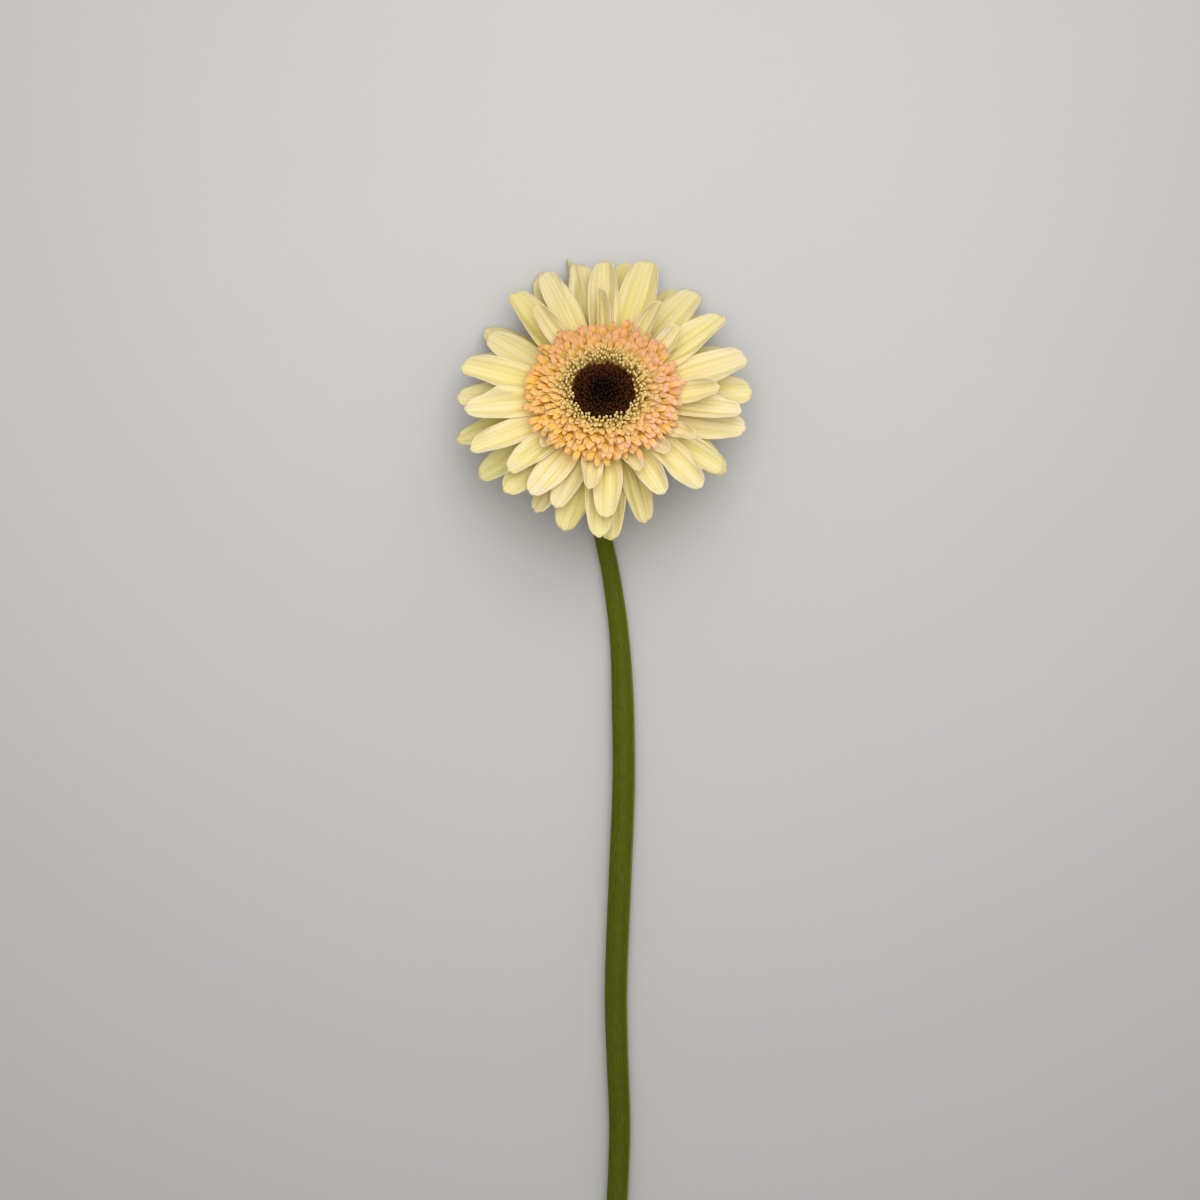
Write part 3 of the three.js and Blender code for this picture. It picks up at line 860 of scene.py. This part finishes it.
# mm and degrees; cup and round are shares of the half width and of the length
ruffTongue = {"length": 5.6, "width": 1.36, "thickness": 0.13, "bend": 88, "cup": 0.24, "round": 0.15,
              "rows": 5, "columns": 6}
ruffRows = {
    "ruff_florets_inner": {"Count": 190, "Inner Radius": 8.8, "Outer Radius": 10.4, "Inner Height": 0.6,
                           "Outer Height": 1.0, "Inner Lean": -6, "Outer Lean": 2, "Size": 0.80, "Seed": 3},
    "ruff_florets_middle": {"Count": 280, "Inner Radius": 10.0, "Outer Radius": 12.8, "Inner Height": 0.6,
                            "Outer Height": 0.8, "Inner Lean": 4, "Outer Lean": 16, "Size": 0.92, "Seed": 5},
    "ruff_florets_outer": {"Count": 310, "Inner Radius": 12.4, "Outer Radius": 15.2, "Inner Height": 0.3,
                           "Outer Height": 0.2, "Inner Lean": 14, "Outer Lean": 36, "Size": 0.98, "Seed": 8,
                           "Size Spread": 0.24},
}
for node, values in ruffRows.items():
    values = {"Wobble": 0.24, "Twist": 0.5, "Size Spread": 0.16, "Dome": 0.0, **values}
    title = node.replace("ruff_florets_", "ruffFlorets_")
    # the bed reaches a little further in and out than the florets' feet
    inner, outer = values["Inner Radius"] - 0.5, values["Outer Radius"] + 0.9
    bed = bedShape(title + "Bed", [(inner, 0.0), (outer, -0.4), (outer + 0.3, 0.5), (outer - 0.4, 1.9),
                                   (inner + 0.5, 2.7), (inner, 1.8)], 0.5)
    whorlPiece(title, tongueShape(title + "Tongue", ruffTongue), bed, values, ruffPeach, "ruff_peach", node)
print("ruff made")

antherColumn = {"length": 3.6, "sides": 6,
                "rings": [(0.1, 0.20), (1.6, 0.20), (2.4, 0.26), (3.0, 0.34), (3.35, 0.30), (3.55, 0.16)]}
openFlorets = {"Count": 255, "Inner Radius": 7.7, "Outer Radius": 10.2, "Inner Height": 0.8,
               "Outer Height": 2.0, "Inner Lean": 2, "Outer Lean": 16, "Wobble": 0.2, "Twist": 1.0,
               "Size": 1.0, "Size Spread": 0.12, "Dome": 0.0, "Seed": 21}
openBed = bedShape("openBed", [(7.2, 0.2), (9.9, 0.2), (10.4, 1.6), (9.6, 2.9), (8.0, 2.2), (7.3, 1.4)], 0.42)
whorlPiece("discFlorets_open", clubShape("antherColumn", antherColumn), openBed, openFlorets,
           antherYellow, "anther_yellow", "disc_florets_open")
print("open disc florets made")

eyeBud = {"length": 2.6, "sides": 6,
          "rings": [(0.1, 0.32), (1.2, 0.40), (1.9, 0.46), (2.3, 0.36), (2.52, 0.18)]}
eyeFlorets = {"Count": 330, "Inner Radius": 0.2, "Outer Radius": 7.5, "Inner Height": 0.6,
              "Outer Height": 0.3, "Inner Lean": 0, "Outer Lean": 22, "Wobble": 0.2, "Twist": 1.0,
              "Size": 0.92, "Size Spread": 0.18, "Dome": 1.1, "Seed": 33}
eyeBed = bedShape("eyeBed", [(0.05, -0.8), (4.5, -0.8), (7.0, 0.6), (7.6, 1.6), (6.6, 2.1), (3.5, 2.2),
                             (0.05, 1.6)], 0.3)
whorlPiece("discEye", clubShape("eyeBud", eyeBud), eyeBed, eyeFlorets, eyeBrown, "eye_brown", "disc_eye")
print("eye made")

# stem, receptacle and calyx

hairs = {
    "length": 0.55,         # mm
    "radius": 0.03,         # mm
    "spread": (0.5, 1.1),   # shortest and longest, as shares
    "lean": 0.7,            # radians
    "underside": -0.6,      # none grow where the surface faces further down than this
}


def makeFuzzTree():
    # short fine hairs scattered over a surface, kept together with that surface
    tree, given, result = newGroup(
        "fuzz", "GeometryNodeTree",
        [("Geometry", "NodeSocketGeometry", None), ("Hair", "NodeSocketObject", None),
         ("Density", "NodeSocketFloat", 1000.0), ("Size", "NodeSocketFloat", 1.0),
         ("Seed", "NodeSocketInt", 1), ("Material", "NodeSocketMaterial", None)],
        [("Geometry", "NodeSocketGeometry")])
    normal = put(tree, "ShaderNodeSeparateXYZ", {0: put(tree, "GeometryNodeInputNormal").outputs[0]})
    clear = put(tree, "FunctionNodeCompare", {"A": normal.outputs["Z"], "B": hairs["underside"]},
                data_type="FLOAT", operation="GREATER_THAN")
    skin = put(tree, "GeometryNodeDistributePointsOnFaces", {
        "Mesh": given["Geometry"], "Selection": clear.outputs[0],
        "Density": given["Density"], "Seed": given["Seed"]})
    most = hairs["lean"]
    lean = put(tree, "FunctionNodeRandomValue", {"Min": (-most, -most, 0), "Max": (most, most, 6.28)},
               data_type="FLOAT_VECTOR")
    tree.links.new(given["Seed"], lean.inputs["Seed"])
    bent = put(tree, "FunctionNodeRotateRotation",
               {0: skin.outputs["Rotation"], 1: enabledSocket(lean.outputs)}, rotation_space="LOCAL")
    hair = put(tree, "GeometryNodeObjectInfo", {"Object": given["Hair"]}).outputs["Geometry"]
    shortest, longest = hairs["spread"]
    size = put(tree, "FunctionNodeRandomValue", {"Min": shortest, "Max": longest}, data_type="FLOAT")
    scale = times(tree, enabledSocket(size.outputs), given["Size"])
    placed = put(tree, "GeometryNodeInstanceOnPoints", {
        "Points": skin.outputs["Points"], "Instance": hair, "Rotation": bent.outputs[0], "Scale": scale})
    endTree(tree, placed.outputs[0], given, result)
    return tree


fuzzTree = makeFuzzTree()


def hairShape():
    radius, length = hairs["radius"] * mm, hairs["length"] * mm
    points = [(radius * math.cos(a), radius * math.sin(a), 0) for a in (0, 2.094, 4.189)] + [(0, 0, length)]
    faces = [(0, 2, 1), (0, 1, 3), (1, 2, 3), (2, 0, 3)]
    return meshFrom("hair", points, faces, {"fuzz": [0.5] * 3 + [0.9]})


def fuzzyPiece(name, mesh, fuzz, material, slotName, *nodes):
    hair = objectFrom("hairShape", hairShape())
    covered = fromTree(name, fuzzTree, {"Hair": hair, "Material": material, **fuzz}, mesh)
    bpy.data.objects.remove(hair)
    finishPiece(objectFrom(name, covered, material), slotName, *nodes)


stem = {
    "sides": 40,
    "step": 1.6,        # mm between rings
    "ribs": 11,
    "ribHeight": 0.05,  # mm
    "swell": 0.05,      # mm
    "lip": 0.2,         # mm from the last ring of the skin to the cut
    "streaks": 80,      # what along reaches at the cut end, about one for each 5 mm
    "fuzz": {"Density": 0.30e6, "Size": 1.0, "Seed": 5},
    # rings of the cut face: share of the radius, mm inwards, how pithy
    "cut": [(0.97, 0.0, 0.55), (0.86, 0.06, 0.8), (0.55, 0.10, 1.0), (0.28, 0.22, 0.9), (0.12, 0.26, 0.8)],
}


def cadRings(name):
    # the tube's rings, from the neck down: each is the next set of neighbours of the one before
    shape = bmesh.new()
    shape.from_mesh(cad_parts[name].data)
    bmesh.ops.remove_doubles(shape, verts=shape.verts, dist=0.01 * mm)
    axis = Vector(headBasis[2])
    tops = [v.co.dot(axis) for v in shape.verts]
    reached = {v for v, height in zip(shape.verts, tops) if height > max(tops) - 0.05 * mm}
    rings, current = [], set(reached)
    while current:
        rings.append(np.array([v.co for v in current]))
        current = {e.other_vert(v) for v in current for e in v.link_edges} - reached
        reached |= current
    shape.free()
    return rings


def smoothLine(points, count):
    # even steps along a Catmull-Rom curve through the points
    gaps = np.linalg.norm(np.diff(points[:, :3], axis=0), axis=1)
    place = np.concatenate([[0], np.cumsum(gaps)])
    slopes = np.gradient(points, place, axis=0)
    at = np.linspace(0, place[-1], count)
    k = np.clip(np.searchsorted(place, at, side="right") - 1, 0, len(place) - 2)
    gap = (place[k + 1] - place[k])[:, None]
    u = ((at - place[k])[:, None]) / gap
    return ((2 * u ** 3 - 3 * u ** 2 + 1) * points[k] + (u ** 3 - 2 * u ** 2 + u) * gap * slopes[k]
            + (3 * u ** 2 - 2 * u ** 3) * points[k + 1] + (u ** 3 - u ** 2) * gap * slopes[k + 1]), place[-1]


def stemMesh():
    rings = cadRings("stem")
    centres = np.array([r.mean(0) for r in rings])
    radii = np.array([np.linalg.norm(r - r.mean(0), axis=1).mean() for r in rings])
    radii[-1] = radii[-2]
    knots = np.column_stack([centres, radii])
    length = smoothLine(knots, 2)[1]
    line = smoothLine(knots, int(length / (stem["step"] * mm)))[0]
    centre, radius = line[:, :3], line[:, 3]
    ahead = np.gradient(centre, axis=0)
    ahead /= np.linalg.norm(ahead, axis=1, keepdims=True)
    side = np.array([1.0, 0, 0]) - ahead * ahead[:, :1]
    side /= np.linalg.norm(side, axis=1, keepdims=True)
    up = np.cross(side, ahead)
    turn = np.linspace(0, 2 * math.pi, stem["sides"], endpoint=False)
    place = np.linspace(0, 1, len(centre))[:, None]
    ribs = np.cos(turn * stem["ribs"] + 0.6 * np.sin(place * 5)) * stem["ribHeight"] * mm
    swell = stem["swell"] * mm * np.sin(place * 37 + 2 * np.cos(turn))
    reach = radius[:, None] + ribs + swell
    grid = (centre[:, None] + side[:, None] * (np.cos(turn) * reach)[..., None]
            + up[:, None] * (np.sin(turn) * reach)[..., None])
    # the knife's slanting cut, on the plane of the frame's last ring
    last = rings[-1]
    normal = np.linalg.svd(last - last.mean(0))[2][2]
    normal *= np.sign(normal @ ahead[-1])
    tail = grid[-1]
    tail = tail + ahead[-1] * (((last.mean(0) - tail) @ normal) / (ahead[-1] @ normal))[:, None]
    keep = len(grid) - 1
    while keep > 1 and ((tail - grid[keep - 1]) @ ahead[-1]).min() < 2 * stem["lip"] * mm:
        keep -= 1
    lip = tail - ahead[-1] * stem["lip"] * mm
    middle = tail.mean(0)
    inner = [middle + (tail - middle) * share - normal * dip * mm for share, dip, pith in stem["cut"]]
    rows = np.concatenate([grid[:keep], lip[None], tail[None], inner])
    along = np.concatenate([np.linspace(0, 1, len(centre))[:keep], [0.999], [1.0] * (1 + len(inner))])
    pith = np.concatenate([np.zeros(keep + 2), [pith for share, dip, pith in stem["cut"]]])
    count, sides = len(rows), stem["sides"]
    points = rows.reshape(-1, 3)
    points[:, 2] = np.maximum(points[:, 2], 0.02 * mm)       # it rests on the table, not in it
    number = np.arange(count * sides).reshape(count, sides)
    a, b = number[:-1], number[1:]
    faces = list(np.stack([a, b, np.roll(b, -1, 1), np.roll(a, -1, 1)], -1).reshape(-1, 4))
    faces += [number[0], number[-1][::-1]]
    values = {"along": stem["streaks"] * np.repeat(along, sides),
              "across": np.tile(np.sin(turn / 2) * 2 - 1, count),
              "pith": np.repeat(pith, sides), "fuzz": np.zeros(count * sides)}
    return meshFrom("stemSkin", points, faces, values)


fuzzyPiece("stem", stemMesh(), stem["fuzz"], stemGreen, "stem_green", "stem")
print("stem made")

receptacle = {
    "sides": 64,
    "rings": 14,
    "ribs": 13,
    "ribHeight": 0.12,  # mm
    "wall": 4.0,        # mm of upright wall above the bowl
    "fuzz": {"Density": 1.2e6, "Size": 1.1, "Seed": 9},
}


def receptacleMesh():
    points = toHead(cadPoints("receptacle"))
    radius = np.hypot(points[:, 0], points[:, 1])
    wide, low, high = radius.max(), points[:, 2].min(), points[:, 2].max()
    neck = radius[points[:, 2] < low + 0.2 * mm].max()
    wall = high - receptacle["wall"] * mm
    bowl = np.linspace(0, math.pi / 2, receptacle["rings"])
    profile = [(0.0, low)] + [(neck + (wide - neck) * math.sin(b), low + (wall - low) * (1 - math.cos(b)))
                              for b in bowl]
    profile += [(wide, wall + (high - wall) * 0.6), (wide - 0.2 * mm, high - 0.15 * mm),
                (wide - 0.6 * mm, high), (wide * 0.5, high), (0.0, high)]
    turn = np.linspace(0, 2 * math.pi, receptacle["sides"], endpoint=False)
    rows, along = [], []
    ribHeight = receptacle["ribHeight"] * mm
    for r, z in profile[1:-1]:
        share = (z - low) / (high - low)
        rib = ribHeight * np.cos(turn * receptacle["ribs"]) * math.sin(math.pi * min(share, 1))
        reach = r - ribHeight + rib if r > neck + 1e-6 else r + 0 * turn
        rows.append(np.column_stack([reach * np.cos(turn), reach * np.sin(turn), np.full(len(turn), z)]))
        along.append(share)
    rows = np.array(rows)
    count, sides = rows.shape[:2]
    number = np.arange(count * sides).reshape(count, sides)
    faces = [*ringFaces(number[:-1], number[1:]), number[0][::-1], number[-1]]
    values = {"along": np.repeat(along, sides), "across": np.tile(np.sin(turn), count),
              "fuzz": np.zeros(count * sides)}
    return meshFrom("receptacleSkin", fromHead(rows.reshape(-1, 3)), faces, values)


fuzzyPiece("receptacle", receptacleMesh(), receptacle["fuzz"], calyxGreen, "calyx_green", "receptacle")

# width in mm, shift as a share of a step, start as a share of the length
bracts = {
    "calyx_bracts_outer": {"count": 13, "shift": 0.0, "width": 3.3, "start": -0.12},
    "calyx_bracts_inner": {"count": 13, "shift": 0.5, "width": 3.6, "start": -0.06},
}
bractShape = {
    "rows": 16,
    "columns": 7,
    "footWidth": 0.45,      # share of the widest
    "tipWidth": 0.10,       # mm, half
    "keel": 0.14,           # mm
    "thinnest": 0.14,       # mm
    "thicker": 0.25,        # mm more at the foot's middle
    # lowest and highest of what chance does to each: radians round, share of the length, mm outwards
    "turned": (-0.03, 0.03),
    "long": (0.95, 1.04),
    "outwards": (-0.1, 0.15),
    "tipOutwards": (-0.2, 0.5),
    "seed": 17,
    "fuzz": {"Density": 1.0e6, "Size": 1.2, "Seed": 12},
}


def bractPiece(name, size, rng):
    # the bracts follow the curve up the middle of the frame's ones, as radius and height against length
    points = toHead(cadPoints(name))
    radius = np.hypot(points[:, 0], points[:, 1])
    step = 2 * math.pi / size["count"]
    off = (np.arctan2(points[:, 1], points[:, 0]) - size["shift"] * step + step / 2) % step - step / 2
    middle = np.abs(off) < 0.02
    order = np.argsort(points[middle, 2])
    line = np.column_stack([radius[middle], points[middle, 2]])[order]
    place = (line[:, 1] - line[0, 1]) + (line[:, 0] - line[0, 0])
    curve = [np.polyfit(place / place[-1], column, 3) for column in line.T]
    foot = bractShape["footWidth"]
    lengthwise, crosswise = np.linspace(0, 1, bractShape["rows"]), np.linspace(-1, 1, bractShape["columns"])
    s, t = np.meshgrid(lengthwise, crosswise, indexing="ij")
    allPoints, allFaces, start = [], [], 0
    for k in range(size["count"]):
        turn = step * (k + size["shift"]) + rng.uniform(*bractShape["turned"])
        u = size["start"] + (rng.uniform(*bractShape["long"]) - size["start"]) * s
        widening = foot + (1 - foot) * np.sin(math.pi * np.clip(s / 0.8, 0, 0.5))
        half = size["width"] / 2 * mm * widening * (1 - s ** 2.6)
        half = np.maximum(half, bractShape["tipWidth"] * mm)
        r = np.polyval(curve[0], u) + rng.uniform(*bractShape["outwards"]) * mm
        r = r + rng.uniform(*bractShape["tipOutwards"]) * mm * s ** 4
        z = np.polyval(curve[1], u)
        r = r - 0.12 * half * t ** 2 + bractShape["keel"] * mm * np.exp(-(t / 0.2) ** 2) * (1 - s)
        angle = turn + half * t / np.maximum(r, 1.5 * mm)
        grid = fromHead(np.stack([r * np.cos(angle), r * np.sin(angle), z], -1))
        thick = (bractShape["thinnest"] + bractShape["thicker"] * (1 - t ** 2) * (1 - s)) * mm
        skin, faces = shellFrom(grid, thick / 2)
        allPoints.append(skin)
        allFaces.append(faces + start)
        start += len(skin)
    values = doubled({"along": s, "across": t, "fuzz": 0 * s, "tip": s ** 5})
    values = {label: np.tile(numbers, size["count"]) for label, numbers in values.items()}
    mesh = meshFrom(name, np.concatenate(allPoints), np.concatenate(allFaces), values)
    title = name.replace("calyx_bracts", "calyxBracts")
    fuzzyPiece(title, mesh, bractShape["fuzz"], calyxGreen, "calyx_green", name)


rng = np.random.default_rng(bractShape["seed"])
for name, size in bracts.items():
    bractPiece(name, size, rng)
print("calyx made")

# table, light and camera

stage = {
    "floorSize": 8.0,
    "floorColour": (0.525, 0.516, 0.505),
    "floorMiddle": (0.0, 0.24, 0.0),
    "floorFade": 0.44,      # metres over which the painted pool of light fades to its edge
    "floorEdge": 0.56,      # how dark the painted pool's edge gets, as a share
    "camera": (-0.0008, 0.1345, 1.2),
    "lens": 144.0,          # mm
    "fill": 0.42,           # strength of the light from all round
    "fillColour": (1.0, 0.99, 0.98, 1),
    "lightsLookAt": (0, 0.15, 0),
}
# each soft light: place, size and power in watts
lights = {
    "overhead": ((0.03, 0.32, 1.45), 0.9, 7.6),
    "softbox": ((0.25, 0.95, 0.85), 1.0, 4.4),
}
ceiling = {"strength": 1.0, "angle": 75.0, "lean": (-0.20, 0.05)}   # a broad even glow, degrees and radians
paperLook = {"darker": 0.985, "patchSize": 0.06, "cellSize": 0.0012, "roughness": (0.8, 0.95),
             "relief": 0.00003}


def makeTablePaper():
    material, tree, shader = newMaterial("tablePaper", {"Specular IOR Level": 0.15})
    noise = grain(tree, paperLook)
    light = stage["floorColour"]
    place = put(tree, "ShaderNodeVectorMath", {0: put(tree, "ShaderNodeTexCoord").outputs["Object"],
                                               1: stage["floorMiddle"]}, operation="DISTANCE")
    # a painted pool of light: darker away from its middle
    paintedPool = put(tree, "ShaderNodeMapRange", {"Value": place.outputs["Value"], "From Max": stage["floorFade"]},
               interpolation_type="SMOOTHSTEP").outputs[0]
    colour = layered(
        tree, tuple(c * paperLook["darker"] for c in light),
        (mapped(tree, noise["Patches"], 0.3, 0.7), light),
        (paintedPool, tuple(c * stage["floorEdge"] for c in light)))
    finishMaterial(tree, shader, colour, noise, paperLook)
    return material


edge = stage["floorSize"] / 2
corners = [(-edge, -edge, 0), (edge, -edge, 0), (edge, edge, 0), (-edge, edge, 0)]
floor = objectFrom("table", meshFrom("table", corners, [(0, 1, 2, 3)]), makeTablePaper())

for name, (place, size, power) in lights.items():
    lamp = bpy.data.lights.new(name, "AREA")
    lamp.shape = "SQUARE"
    lamp.size = size
    lamp.energy = power
    made = objectFrom(name, lamp)
    made.location = place
    aim = Vector(stage["lightsLookAt"]) - made.location
    made.rotation_euler = aim.to_track_quat("-Z", "Y").to_euler()

glow = bpy.data.lights.new("ceiling", "SUN")
glow.energy = ceiling["strength"]
glow.angle = math.radians(ceiling["angle"])
objectFrom("ceiling", glow).rotation_euler = (*ceiling["lean"], 0)

world = bpy.data.worlds.new("studio")
world.use_nodes = True
background = world.node_tree.nodes["Background"].inputs
background["Color"].default_value = stage["fillColour"]
background["Strength"].default_value = stage["fill"]
bpy.context.scene.world = world
bpy.context.scene.view_settings.view_transform = "Standard"

lens = bpy.data.cameras.new("camera")
lens.lens = stage["lens"]
lens.sensor_width = 36.0
lens.clip_end = 20.0
camera = objectFrom("camera", lens)
camera.location = stage["camera"]
bpy.context.scene.camera = camera
print("table, light and camera made")
